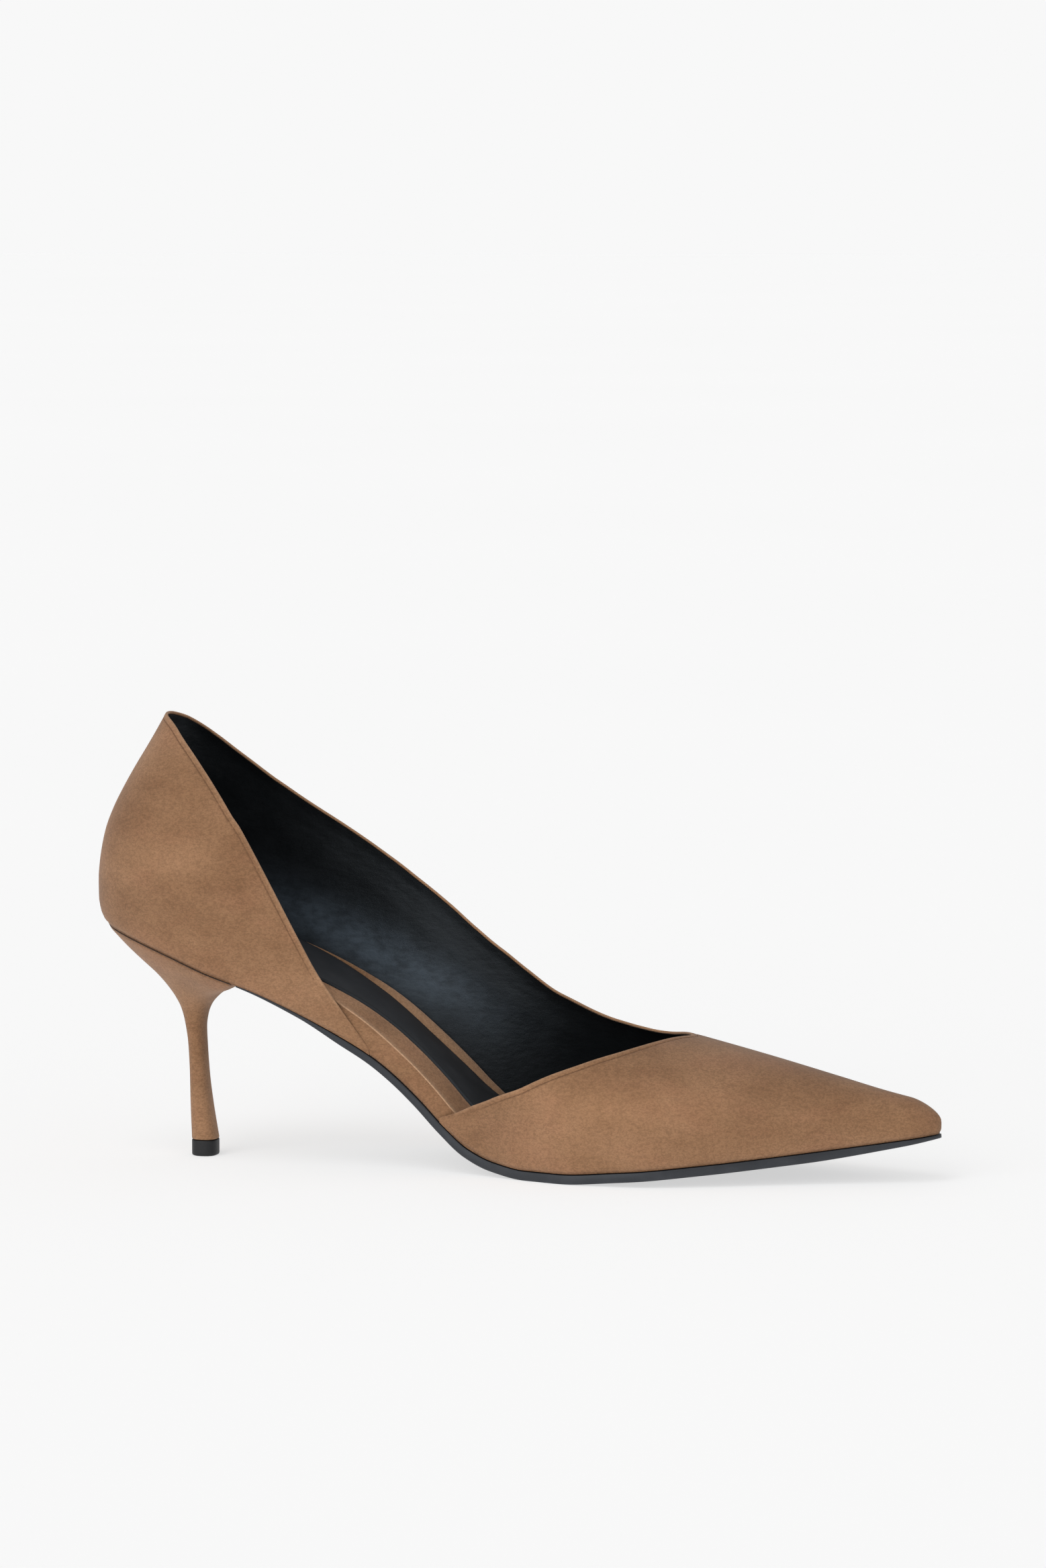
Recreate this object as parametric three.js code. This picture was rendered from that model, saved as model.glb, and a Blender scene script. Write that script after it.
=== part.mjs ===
// A pointed pump with a slim covered heel, cut down to the sole on its inner side.
// Millimetres. X runs from heel to toe, Y from the inner to the outer side, Z up from the floor.
import * as THREE from 'three';
import { mergeVertices } from 'three/addons/utils/BufferGeometryUtils.js';

// Driving sizes of the shoe.
const LENGTH = 254;
const WIDTH = 76;
const SEAT_HEIGHT = 68;
const COLLAR_HEIGHT = 62.7;
const INSTEP_HEIGHT = 74;
const TOE_SPRING = 11.3;
const NOSE_HEIGHT = 6;
const SWELL = 5;

// Thickness of each layer, and the clearance kept between neighbouring pieces.
const UPPER_WALL = 1.4;
const OUTSOLE_THICKNESS = 2.7;
const INSOLE_THICKNESS = 8.6;
const RIM_WIDTH = 5;
const RIM_DROP = 3.2;
const SOCK_THICKNESS = 1;
const CLEARANCE = 0.3;

// The covered heel, and the top piece under it.
const HEEL_SETBACK = 31.7;
const STEM_DEPTH = 8;
const STEM_WIDTH = 9;
const TIP_HEIGHT = 4.7;
const TIP_BEVEL = 0.5;
const BREAST = 46;

// Ribs behind FAN fan round the heel; the toe rounds off ahead of NOSE.
const FAN = 0.19;
const FAN_POWER = 2.3;
const NOSE = 0.962;

const SUEDE = new THREE.MeshStandardMaterial({ color: 0x98745a, roughness: 0.95, metalness: 0 });
const LEATHER = new THREE.MeshStandardMaterial({ color: 0x1c1d20, roughness: 0.45, metalness: 0 });
const RUBBER = new THREE.MeshStandardMaterial({ color: 0x2e2e30, roughness: 0.6, metalness: 0 });

// Half widths of the sole's edge. Shares of LENGTH and WIDTH.
const OUTLINE = {
  at: [0.19, 0.27, 0.36, 0.45, 0.53, 0.6, 0.66, 0.74, 0.82, 0.9, 0.95, 1],
  inner: [0.31, 0.292, 0.268, 0.3, 0.392, 0.455, 0.46, 0.385, 0.275, 0.168, 0.112, 0.062],
  outer: [0.318, 0.315, 0.305, 0.352, 0.43, 0.48, 0.478, 0.415, 0.305, 0.188, 0.124, 0.068],
};

// Swing of the sole's middle line toward the outer side, in shares of WIDTH.
const SWING = {
  at: [0.1, 0.36, 0.58, 0.8, 1],
  shift: [0, 0.018, 0, -0.035, -0.075],
};

// Lift of the sole: arch in shares of SEAT_HEIGHT, spring in shares of TOE_SPRING.
const LIFT = {
  at: [0, 0.05, 0.1, 0.15, 0.2, 0.25, 0.3, 0.34, 0.37, 0.4, 0.43, 0.46, 0.49, 0.535, 0.575, 0.64, 0.72, 0.8, 0.9, 1],
  arch: [1.04, 0.978, 0.908, 0.828, 0.76, 0.672, 0.57, 0.476, 0.386, 0.28, 0.164, 0.07, 0.025, 0, 0, 0, 0, 0, 0, 0],
  spring: [0, 0, 0, 0, 0, 0, 0, 0, 0, 0, 0, 0, 0, 0, 0, 0.1, 0.26, 0.44, 0.7, 1],
};

// Ribs of the last: top above the sole in shares of INSTEP_HEIGHT, swell past the edge in shares
// of SWELL, belly as the share of the top up to which the wall stays upright, and the half width
// of the crown in shares of WIDTH.
const RIBS = {
  at: [0.19, 0.27, 0.36, 0.45, 0.53, 0.6, 0.66, 0.72, 0.8, 0.88, 0.94, 1],
  top: [0.872, 0.905, 0.953, 1, 0.831, 0.648, 0.523, 0.456, 0.363, 0.262, 0.183, 0.112],
  swell: [1, 0.9, 0.84, 0.72, 0.52, 0.4, 0.34, 0.3, 0.24, 0.18, 0.14, 0.1],
  belly: [0.55, 0.52, 0.5, 0.48, 0.47, 0.46, 0.46, 0.48, 0.5, 0.52, 0.54, 0.55],
  innerCrown: [0.184, 0.171, 0.151, 0.105, 0.053, 0.013, 0, 0, 0, 0, 0, 0],
  outerCrown: [0.184, 0.184, 0.171, 0.132, 0.066, 0.02, 0, 0, 0, 0, 0, 0],
};

// Back seam: how far it leans toward the toe, in shares of COLLAR_HEIGHT, by share of its height.
const BACK = {
  at: [0, 0.05, 0.12, 0.2, 0.28, 0.36, 0.44, 0.54, 0.64, 0.74, 0.84, 0.92, 1],
  lean: [0.036, 0.011, 0, 0, 0.006, 0.018, 0.036, 0.074, 0.124, 0.18, 0.24, 0.286, 0.33],
};

// Topline: how far up its rib the edge runs, by the place of the rib's foot.
const INNER_QUARTER = {
  at: [0, 0.03, 0.07, 0.11, 0.15, 0.187, 0.236, 0.282, 0.31, 0.34],
  edge: [1, 0.972, 0.9, 0.815, 0.71, 0.557, 0.335, 0.155, 0.08, 0.015],
};
const INNER_VAMP = {
  at: [0.424, 0.46, 0.49, 0.54, 0.587, 0.63, 0.67, 0.694, 0.712],
  edge: [0.012, 0.117, 0.188, 0.307, 0.447, 0.596, 0.777, 0.905, 1],
};
const OUTER_EDGE = {
  at: [0, 0.03, 0.06, 0.094, 0.16, 0.2, 0.24, 0.3, 0.36, 0.5, 0.56, 0.62, 0.66, 0.69, 0.712],
  edge: [1, 0.981, 0.955, 0.903, 0.788, 0.7, 0.635, 0.575, 0.54, 0.545, 0.57, 0.625, 0.69, 0.82, 1],
};
const THROAT = INNER_VAMP.at.at(-1);

// Outsole thickness, in shares of OUTSOLE_THICKNESS, and how far its rear corners tuck in.
const TREAD = {
  at: [0.19, 0.26, 0.32, 0.42, 0.5, 0.575, 0.85, 0.95, 1],
  thick: [0.3, 0.42, 0.78, 0.85, 1, 1, 1, 0.65, 0.35],
  tuck: [0.6, 0.25, 0, 0, 0, 0, 0, 0, 0],
};

// Insole thickness in shares of INSOLE_THICKNESS. Its bevelled inner rim and the margin that the
// sock leaves on the outer side, in shares of RIM_WIDTH.
const INSOLE = {
  at: [0, 0.15, 0.25, 0.3, 0.36, 0.42, 0.47, 0.54, 0.66, 0.85, 1],
  thick: [1, 1.2, 1.3, 1.28, 1.12, 1.02, 0.92, 0.62, 0.45, 0.36, 0.3],
  rim: [0.3, 0.35, 0.5, 0.8, 1, 1, 0.9, 0.6, 0.35, 0.25, 0.2],
  margin: [0.2, 0.2, 0.25, 0.6, 1.05, 1.1, 0.7, 0.3, 0.2, 0.2, 0.2],
};

// Heel rings from the tip up to the seat. Depths and heights in shares of the stem and the seat.
const HEEL = {
  level: [0, 0.2, 0.35, 0.5, 0.62, 0.69, 0.745, 0.8, 0.845, 0.885, 0.93, 1],
  back: [-0.5, -0.55, -0.57, -0.62, -0.74, -0.88, -1.1, -1.45, -1.85, -2.35, -2.9, -3.64],
  front: [0.27, 0.15, 0.08, 0.04, 0.02, 0.05, 0.11, 0.23, 0.37, 0.55, 0.77, 1],
  half: [0.51, 0.47, 0.45, 0.45, 0.5, 0.6, 0.8, 1.1, 1.43, 1.76, 2.15, 2.62],
  belly: [0.5, 0.5, 0.5, 0.5, 0.5, 0.52, 0.56, 0.64, 0.74, 0.82, 0.9, 0.97],
  power: [2.6, 2.5, 2.4, 2.3, 2.3, 2.4, 2.6, 3, 3.6, 4.4, 5.5, 7],
};

// Value of a table's column at a place, on a smooth curve that never overshoots its rows.
function along(table, column, place, key = 'at') {
  const xs = table[key];
  const ys = table[column];
  const last = xs.length - 1;
  const x = THREE.MathUtils.clamp(place, xs[0], xs[last]);
  let i = 0;
  while (i < last - 1 && x >= xs[i + 1]) i += 1;
  const rise = (k) => (ys[k + 1] - ys[k]) / (xs[k + 1] - xs[k]);
  const slope = (k) => {
    if (k === 0) return rise(0);
    if (k === last) return rise(last - 1);
    const before = rise(k - 1);
    const after = rise(k);
    return before * after <= 0 ? 0 : (2 * before * after) / (before + after);
  };
  const h = xs[i + 1] - xs[i];
  const t = (x - xs[i]) / h;
  const bend = t * t * (3 - 2 * t);
  const swing = (t ** 3 - 2 * t * t + t) * slope(i) + (t ** 3 - t * t) * slope(i + 1);
  return ys[i] + (ys[i + 1] - ys[i]) * bend + swing * h;
}

const bezier = (a, b, c, d, t) => {
  const s = 1 - t;
  return a * s ** 3 + 3 * b * s * s * t + 3 * c * s * t * t + d * t ** 3;
};

// Top of the outsole and of the heel, as a height over x.
function treadHeight(x) {
  const at = x / LENGTH;
  const arch = along(LIFT, 'arch', at) * (SEAT_HEIGHT - OUTSOLE_THICKNESS);
  return OUTSOLE_THICKNESS + arch + along(LIFT, 'spring', at) * TOE_SPRING;
}

// Underside of upper and insole, a clearance above the tread.
const footHeight = (x) => treadHeight(x) + CLEARANCE;

// A point lifted off the sole's curve, square to it.
function lifted(x, y, lift, base = footHeight) {
  const step = 0.5;
  const slope = (base(x + step) - base(x - step)) / (2 * step);
  const size = Math.hypot(1, slope);
  return new THREE.Vector3(x - (slope / size) * lift, y, base(x) + lift / size);
}

const roundOff = (at) => Math.sqrt(1 - Math.max(0, (at - NOSE) / (1 - NOSE)) ** 2);

// Half width of the sole's edge on one side.
function halfWidth(at, side) {
  return WIDTH * along(OUTLINE, side, at) * roundOff(at);
}

const sign = (side) => (side === 'inner' ? -1 : 1);
const swing = (x) => WIDTH * along(SWING, 'shift', x / LENGTH);
const backLean = (share) => COLLAR_HEIGHT * along(BACK, 'lean', share);

// Height and reach of a rib that stands across the shoe.
function section(at, side, share) {
  const foot = halfWidth(at, side);
  const nose = roundOff(at);
  const tall = NOSE_HEIGHT + (INSTEP_HEIGHT * along(RIBS, 'top', at) - NOSE_HEIGHT) * nose;
  const crown = WIDTH * along(RIBS, `${side}Crown`, at);
  const swell = 1.8 * SWELL * along(RIBS, 'swell', at) * nose;
  const shoulder = crown + (foot - crown) * 0.62;
  return {
    reach: bezier(foot, foot + swell, shoulder, crown, share),
    height: tall * bezier(0, along(RIBS, 'belly', at), 1, 1, share),
  };
}

// A point of the upper's outside: foot place, side and share of the way up the rib.
function lastPoint(at, side, share) {
  if (at >= FAN) {
    const { reach, height } = section(at, side, share);
    const x = at * LENGTH;
    return new THREE.Vector3(x, swing(x) + sign(side) * reach, footHeight(x) + height);
  }
  const turn = Math.max(0, 1 - at / FAN);
  const back = turn ** (2 / FAN_POWER);
  const across = Math.sqrt(1 - turn * turn) ** (2 / FAN_POWER);
  const centre = FAN * LENGTH;
  const { reach, height } = section(FAN, side, share);
  const x = centre - (centre - backLean(share)) * back;
  const foot = centre - (centre - backLean(0)) * back;
  const tall = height + (share * COLLAR_HEIGHT - height) * turn * turn;
  return new THREE.Vector3(x, swing(x) + sign(side) * reach * across, footHeight(foot) + tall);
}

// Places of the ribs from heel to toe: close together round the heel and at the nose.
function places(from, to, fanSteps = 12, midSteps = 38, noseSteps = 7) {
  const list = [];
  for (let i = 0; i < fanSteps; i += 1) list.push(FAN * (1 - Math.cos((i / fanSteps) * (Math.PI / 2))));
  for (let i = 0; i < midSteps; i += 1) list.push(FAN + ((NOSE - FAN) * i) / midSteps);
  for (let i = 0; i <= noseSteps; i += 1) {
    list.push(NOSE + (1 - NOSE) * Math.sin((i / noseSteps) * (Math.PI / 2)));
  }
  const inside = list.filter((at) => at > from + 0.002 && at < to - 0.001);
  return [from, ...inside, to];
}

// Closed mesh from triangles of points: equal points join, and flat triangles drop out.
function closedMesh(triangles, name, material) {
  const loose = new THREE.BufferGeometry();
  const numbers = triangles.flat().flatMap((point) => [point.x, point.y, point.z]);
  loose.setAttribute('position', new THREE.Float32BufferAttribute(numbers, 3));
  const joined = mergeVertices(loose, 1e-4);
  const index = joined.getIndex().array;
  const kept = [];
  for (let i = 0; i < index.length; i += 3) {
    const [a, b, c] = index.slice(i, i + 3);
    if (a !== b && b !== c && c !== a) kept.push(a, b, c);
  }
  joined.setIndex(kept);
  joined.computeVertexNormals();
  const mesh = new THREE.Mesh(joined, material);
  mesh.name = name;
  return mesh;
}

const quad = (a, b, c, d) => [[a, b, c], [a, c, d]];

// Skin between rings of equal count, each ring closed, with a cap on both ends. A cap runs in
// strips between the ring's two halves, so it follows a seat that the ring lies on.
function loft(rings) {
  const triangles = [];
  const cap = (ring) => {
    const count = ring.length;
    const strips = [];
    for (let i = 0; i < Math.floor(count / 2); i += 1) {
      strips.push(...quad(ring[i], ring[i + 1], ring[count - 1 - i], ring[(count - i) % count]));
    }
    return strips;
  };
  rings.slice(1).forEach((ring, k) => {
    const before = rings[k];
    ring.forEach((point, i) => {
      const next = (i + 1) % ring.length;
      triangles.push(...quad(before[i], before[next], ring[next], point));
    });
  });
  triangles.push(...cap(rings.at(-1)));
  triangles.push(...cap(rings[0]).map(([a, b, c]) => [a, c, b]));
  return triangles;
}

// The upper: one wall round the foot, open at the collar, at the inner waist and underneath.
const RIB_STEPS = 8;

function innerEdge(at) {
  if (at <= INNER_QUARTER.at.at(-1)) return along(INNER_QUARTER, 'edge', at);
  return at >= THROAT ? 1 : along(INNER_VAMP, 'edge', at);
}

const outerEdge = (at) => (at >= THROAT ? 1 : along(OUTER_EDGE, 'edge', at));

// Ribs in one run: from the vamp's inner corner round the toe and heel to the inner quarter.
function upperRibs() {
  const rib = (at, side, edge) => ({
    at,
    points: Array.from({ length: RIB_STEPS + 1 }, (_, j) => lastPoint(at, side, (edge * j) / RIB_STEPS)),
    open: at < THROAT,
  });
  const vamp = [...places(INNER_VAMP.at[0], THROAT), ...places(THROAT, 1).slice(1)];
  const outer = [...places(0, THROAT), ...places(THROAT, 1).slice(1)].reverse().slice(1);
  const quarter = places(0, INNER_QUARTER.at.at(-1)).slice(1);
  return [
    ...vamp.map((at) => rib(at, 'inner', innerEdge(at))),
    ...outer.map((at) => rib(at, 'outer', outerEdge(at))),
    ...quarter.map((at) => rib(at, 'inner', innerEdge(at))),
  ];
}

// Direction into the shoe from the ridge of the vamp.
function ridgeInward(at) {
  const step = 0.002;
  const ahead = lastPoint(Math.min(1, at + step), 'inner', 1);
  const run = ahead.sub(lastPoint(at - step, 'inner', 1));
  return new THREE.Vector3(run.z, 0, -run.x).normalize();
}

// The same ribs moved inward by the wall, square to the surface.
function liningRibs(ribs) {
  return ribs.map((rib, i) => {
    const before = ribs[Math.max(0, i - 1)].points;
    const after = ribs[Math.min(ribs.length - 1, i + 1)].points;
    return rib.points.map((point, j) => {
      const alongShoe = new THREE.Vector3().subVectors(after[j], before[j]);
      const upRib = new THREE.Vector3().subVectors(
        rib.points[Math.min(RIB_STEPS, j + 1)],
        rib.points[Math.max(0, j - 1)],
      );
      const inward = new THREE.Vector3().crossVectors(upRib, alongShoe).normalize();
      if (j === RIB_STEPS && !rib.open) inward.copy(ridgeInward(rib.at));
      const moved = point.clone().addScaledVector(inward, UPPER_WALL);
      if (j === 0) moved.z = footHeight(moved.x);
      return moved;
    });
  });
}

function makeUpper() {
  const ribs = upperRibs();
  const lining = liningRibs(ribs);
  const triangles = [];
  for (let i = 0; i + 1 < ribs.length; i += 1) {
    const here = ribs[i].points;
    const next = ribs[i + 1].points;
    const hereIn = lining[i];
    const nextIn = lining[i + 1];
    for (let j = 0; j < RIB_STEPS; j += 1) {
      triangles.push(...quad(here[j], next[j], next[j + 1], here[j + 1]));
      triangles.push(...quad(hereIn[j], hereIn[j + 1], nextIn[j + 1], nextIn[j]));
    }
    triangles.push(...quad(here[0], hereIn[0], nextIn[0], next[0]));
    if (ribs[i].open || ribs[i + 1].open) {
      triangles.push(...quad(here[RIB_STEPS], next[RIB_STEPS], nextIn[RIB_STEPS], hereIn[RIB_STEPS]));
    }
  }
  const last = ribs.length - 1;
  for (let j = 0; j < RIB_STEPS; j += 1) {
    triangles.push(...quad(ribs[0].points[j], ribs[0].points[j + 1], lining[0][j + 1], lining[0][j]));
    triangles.push(...quad(ribs[last].points[j + 1], ribs[last].points[j], lining[last][j], lining[last][j + 1]));
  }
  return closedMesh(triangles, 'upper', SUEDE);
}

// A point of the sole's edge moved inward by a distance, seen from above.
function edgeInset(at, side, inset) {
  const step = 0.002;
  const plan = (place) => lastPoint(THREE.MathUtils.clamp(place, 0, 1), side, 0);
  const here = plan(at);
  const tangent = plan(at + step).sub(plan(at - step)).setZ(0).normalize();
  const out = new THREE.Vector3(-tangent.y, tangent.x, 0).multiplyScalar(sign(side));
  if (at === 0 || at === 1) out.set(at === 0 ? -1 : 1, 0, 0);
  return here.addScaledVector(out, -inset);
}

// The outsole: from the heel breast to the toe, flat on the floor at the ball.
const REAR_END = BREAST + CLEARANCE;

function makeOutsole() {
  const stations = places(REAR_END / LENGTH, 1);
  const rings = stations.map((at) => {
    const tuck = RIM_WIDTH * along(TREAD, 'tuck', at);
    const thick = OUTSOLE_THICKNESS * along(TREAD, 'thick', at);
    const point = (side, lift) => {
      const edge = lastPoint(at, side, 0);
      const x = Math.max(edge.x, REAR_END);
      const moved = lifted(x, edge.y - sign(side) * tuck, lift, treadHeight);
      return moved.setX(Math.max(moved.x, REAR_END));
    };
    return [point('inner', -thick), point('outer', -thick), point('outer', 0), point('inner', 0)];
  });
  return closedMesh(loft(rings), 'outsole', RUBBER);
}

// The insole board in its suede wrap: a wall and a clearance inside the upper all round.
const INSOLE_INSET = UPPER_WALL + CLEARANCE;

const insoleThick = (at) => INSOLE_THICKNESS * along(INSOLE, 'thick', at);
const insoleRim = (at) => RIM_WIDTH * along(INSOLE, 'rim', at);

const INSOLE_END = 0.972;

function makeInsole() {
  const rings = places(0, INSOLE_END).map((at) => {
    const thick = insoleThick(at);
    const drop = RIM_DROP * along(INSOLE, 'rim', at);
    const point = (side, inset, lift) => {
      const edge = edgeInset(at, side, INSOLE_INSET + inset);
      return lifted(edge.x, edge.y, lift);
    };
    return [
      point('inner', 0, 0),
      point('outer', 0, 0),
      point('outer', 0, thick),
      point('inner', insoleRim(at), thick),
      point('inner', 0, thick - drop),
    ];
  });
  return closedMesh(loft(rings), 'insole', SUEDE);
}

// The sock: a thin sheet on the insole, inside its rims.
function makeSock() {
  const stations = places(0, INSOLE_END - 0.004);
  const rings = stations.map((at) => {
    const margin = RIM_WIDTH * along(INSOLE, 'margin', at);
    const inner = edgeInset(at, 'inner', INSOLE_INSET + insoleRim(at));
    const outer = edgeInset(at, 'outer', INSOLE_INSET + margin);
    const low = insoleThick(at) + CLEARANCE;
    const high = low + SOCK_THICKNESS;
    return [
      lifted(inner.x, inner.y, low),
      lifted(outer.x, outer.y, low),
      lifted(outer.x, outer.y, high),
      lifted(inner.x, inner.y, high),
    ];
  });
  return closedMesh(loft(rings), 'sock', LEATHER);
}

// One ring round the heel: superellipse halves behind and ahead of its widest place.
const RING_STEPS = 36;

function heelRing(row, shrink = 0) {
  const value = (column) => along(HEEL, column, HEEL.level[row], 'level');
  const back = HEEL_SETBACK + STEM_DEPTH * value('back') + shrink;
  const front = HEEL_SETBACK + (BREAST - HEEL_SETBACK) * value('front') - shrink;
  const half = STEM_WIDTH * value('half') - shrink;
  const widest = back + (front - back) * value('belly');
  const power = 2 / value('power');
  const behind = 2 / FAN_POWER;
  return Array.from({ length: RING_STEPS }, (_, i) => {
    const angle = (i / RING_STEPS) * 2 * Math.PI;
    const c = Math.cos(angle);
    const s = Math.sin(angle);
    const exponent = c > 0 ? power : behind;
    const reach = Math.abs(c) ** exponent * (c > 0 ? front - widest : back - widest);
    return { x: widest + reach, y: half * Math.sign(s) * Math.abs(s) ** exponent };
  });
}

function makeHeel() {
  const foot = TIP_HEIGHT + CLEARANCE;
  const rings = HEEL.level.map((level, row) => heelRing(row).map(({ x, y }) => (
    new THREE.Vector3(x, y, foot + (treadHeight(x) - foot) * level)
  )));
  return closedMesh(loft(rings), 'heel', SUEDE);
}

function makeHeelTip() {
  const ring = (shrink, z) => heelRing(0, shrink).map(({ x, y }) => new THREE.Vector3(x, y, z));
  const rings = [ring(TIP_BEVEL, 0), ring(0, TIP_BEVEL), ring(0, TIP_HEIGHT)];
  return closedMesh(loft(rings), 'heel_tip', RUBBER);
}

const pump = new THREE.Group();
pump.add(makeUpper(), makeInsole(), makeSock(), makeOutsole(), makeHeel(), makeHeelTip());

// Stand the shoe with the middle of its footprint on the origin.
const box = new THREE.Box3().setFromObject(pump);
const centre = box.getCenter(new THREE.Vector3());
pump.position.set(-centre.x, -centre.y, -box.min.z);

export default pump;
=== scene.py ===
import math

import bmesh
import bpy
import numpy as np
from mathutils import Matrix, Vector


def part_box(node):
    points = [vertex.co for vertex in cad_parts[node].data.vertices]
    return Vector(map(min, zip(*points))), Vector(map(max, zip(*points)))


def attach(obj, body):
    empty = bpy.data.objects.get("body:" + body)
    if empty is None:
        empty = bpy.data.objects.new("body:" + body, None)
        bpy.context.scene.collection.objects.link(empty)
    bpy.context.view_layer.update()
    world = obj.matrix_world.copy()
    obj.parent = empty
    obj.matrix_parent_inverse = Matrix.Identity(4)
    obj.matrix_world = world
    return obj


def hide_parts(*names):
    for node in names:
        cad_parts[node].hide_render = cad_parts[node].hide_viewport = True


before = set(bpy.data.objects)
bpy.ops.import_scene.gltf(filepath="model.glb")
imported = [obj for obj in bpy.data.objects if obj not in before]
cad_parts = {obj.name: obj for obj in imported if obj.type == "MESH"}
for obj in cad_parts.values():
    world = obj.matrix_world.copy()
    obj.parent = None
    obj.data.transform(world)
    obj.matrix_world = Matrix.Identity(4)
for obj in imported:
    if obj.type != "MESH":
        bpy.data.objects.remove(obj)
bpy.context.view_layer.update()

# The studio. A pale floor runs out under a pale sky, with one broad lamp at the open side and a
# cooler one over the shoe. The camera has a long lens, stands a little toward the toe and looks
# slightly down.
MM = 0.001
PICTURE = (1558, 2336)
CAMERA_TURN = math.radians(12)
CAMERA_RISE = math.radians(7)
CAMERA_DISTANCE = 1.8
CAMERA_TARGET = Vector((0, 0, 64.7 * MM))
PICTURE_MIDDLE = Vector((1.5 * MM, 0, 113.1 * MM))
PIXELS_PER_METRE = 5050
SENSOR = 36
FLOOR_REACH = 30

scene = bpy.context.scene
scene.view_settings.view_transform = "Standard"
scene.view_settings.look = "None"


def add_camera():
    lens = bpy.data.cameras.new("camera")
    lens.sensor_width = SENSOR
    lens.lens = SENSOR * PIXELS_PER_METRE * CAMERA_DISTANCE / max(PICTURE)
    lens.clip_end = 2 * FLOOR_REACH
    camera = bpy.data.objects.new("camera", lens)
    scene.collection.objects.link(camera)
    back = Vector((
        math.sin(CAMERA_TURN) * math.cos(CAMERA_RISE),
        -math.cos(CAMERA_TURN) * math.cos(CAMERA_RISE),
        math.sin(CAMERA_RISE),
    ))
    camera.location = CAMERA_TARGET + CAMERA_DISTANCE * back
    aim = PICTURE_MIDDLE - camera.location
    camera.rotation_euler = aim.to_track_quat("-Z", "Y").to_euler()
    scene.camera = camera


def add_lamp(name, come_from, softness, power, tint):
    """A far soft lamp: the direction it comes from, its width in the sky and its colour."""
    light = bpy.data.lights.new(name, "SUN")
    light.angle = math.radians(softness)
    light.energy = power
    light.color = tint
    lamp = bpy.data.objects.new(name, light)
    scene.collection.objects.link(lamp)
    lamp.location = come_from
    lamp.rotation_euler = (-Vector(come_from)).to_track_quat("-Z", "Y").to_euler()


class Signal:
    """A shader socket that takes Python's operators: each adds one Math node."""

    def __init__(self, finish, socket):
        self.finish = finish
        self.socket = socket

    def math(self, operation, *values):
        return self.finish.node("Math", {"operation": operation}, dict(enumerate(values)))

    def __add__(self, other):
        return self.math("ADD", self, other)

    def __sub__(self, other):
        return self.math("SUBTRACT", self, other)

    def __rsub__(self, other):
        return self.math("SUBTRACT", other, self)

    def __mul__(self, other):
        return self.math("MULTIPLY", self, other)

    __radd__ = __add__
    __rmul__ = __mul__


class Finish:
    """A material in the making, with its Principled shader and a method that adds any node."""

    def __init__(self, name, **constants):
        self.material = bpy.data.materials.new(name)
        self.material.use_nodes = True
        self.tree = self.material.node_tree
        self.shader = self.tree.nodes["Principled BSDF"]
        for socket, value in constants.items():
            self.shader.inputs[socket.replace("_", " ")].default_value = value

    def node(self, kind, settings, sockets, output=0):
        made = self.tree.nodes.new("ShaderNode" + kind)
        for key, value in settings.items():
            if key == "stops":
                self.set_stops(made.color_ramp, value)
            else:
                setattr(made, key, value)
        for key, value in sockets.items():
            self.feed(made.inputs[key], value)
        return Signal(self, made.outputs[output])

    def set_stops(self, ramp, stops):
        while len(ramp.elements) < len(stops):
            ramp.elements.new(1)
        for element, (place, shade) in zip(ramp.elements, stops):
            element.position = place
            element.color = shade

    def feed(self, socket, value):
        if isinstance(value, Signal):
            self.tree.links.new(value.socket, socket)
        else:
            socket.default_value = value

    def place(self, **stretch):
        """Object coordinates, stretched along each axis where a pattern is longer than wide."""
        where = self.node("TexCoord", {}, {}, output="Object")
        if not stretch:
            return where
        size = tuple(stretch.get(axis, 1) for axis in "xyz")
        return self.node("Mapping", {}, {"Vector": where, "Scale": size})

    def mark(self, name):
        """A mark that the piece's points carry, from 0 to 1."""
        return self.node("Attribute", {"attribute_name": name}, {}, output="Fac")

    def noise(self, feature, detail=3, roughness=0.55, where=None):
        """Soft noise whose blots are about one feature across, in metres."""
        sockets = {"Scale": 1 / feature, "Detail": detail, "Roughness": roughness}
        sockets["Vector"] = where or self.place()
        return self.node("TexNoise", {}, sockets)

    def ramp(self, value, low, high):
        """A value brought from its low and high to 0 and 1, eased at both ends."""
        settings = {"interpolation_type": "SMOOTHSTEP"}
        return self.node("MapRange", settings, {"Value": value, "From Min": low, "From Max": high})

    def blend(self, factor, first, second):
        """Two colours mixed by a factor. A Mix node takes its colours at sockets 6 and 7."""
        sockets = {"Factor": factor, 6: first, 7: second}
        return self.node("Mix", {"data_type": "RGBA"}, sockets, output=2)

    def surface(self, **sockets):
        for name, value in sockets.items():
            self.feed(self.shader.inputs[name.replace("_", " ")], value)

    def bump(self, height, distance, strength=1.0):
        sockets = {"Height": height, "Distance": distance, "Strength": strength}
        return self.node("Bump", {}, sockets)


def colour(red, green, blue):
    """A colour written as the screen shows it, from 0 to 255, turned to linear light."""
    shares = (red / 255, green / 255, blue / 255)
    return (*(((c + 0.055) / 1.055) ** 2.4 if c > 0.04045 else c / 12.92 for c in shares), 1)


FLOOR_COLOUR = colour(192, 192, 192)
FLOOR_FLECK = colour(195, 195, 195)
FLECK_SIZE = 0.8
FLOOR_GLOW = 0.58
SKY_SEEN = colour(248, 248, 248)
SKY_AT_HORIZON = 0.74
SKY_OVERHEAD = 0.26


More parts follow.
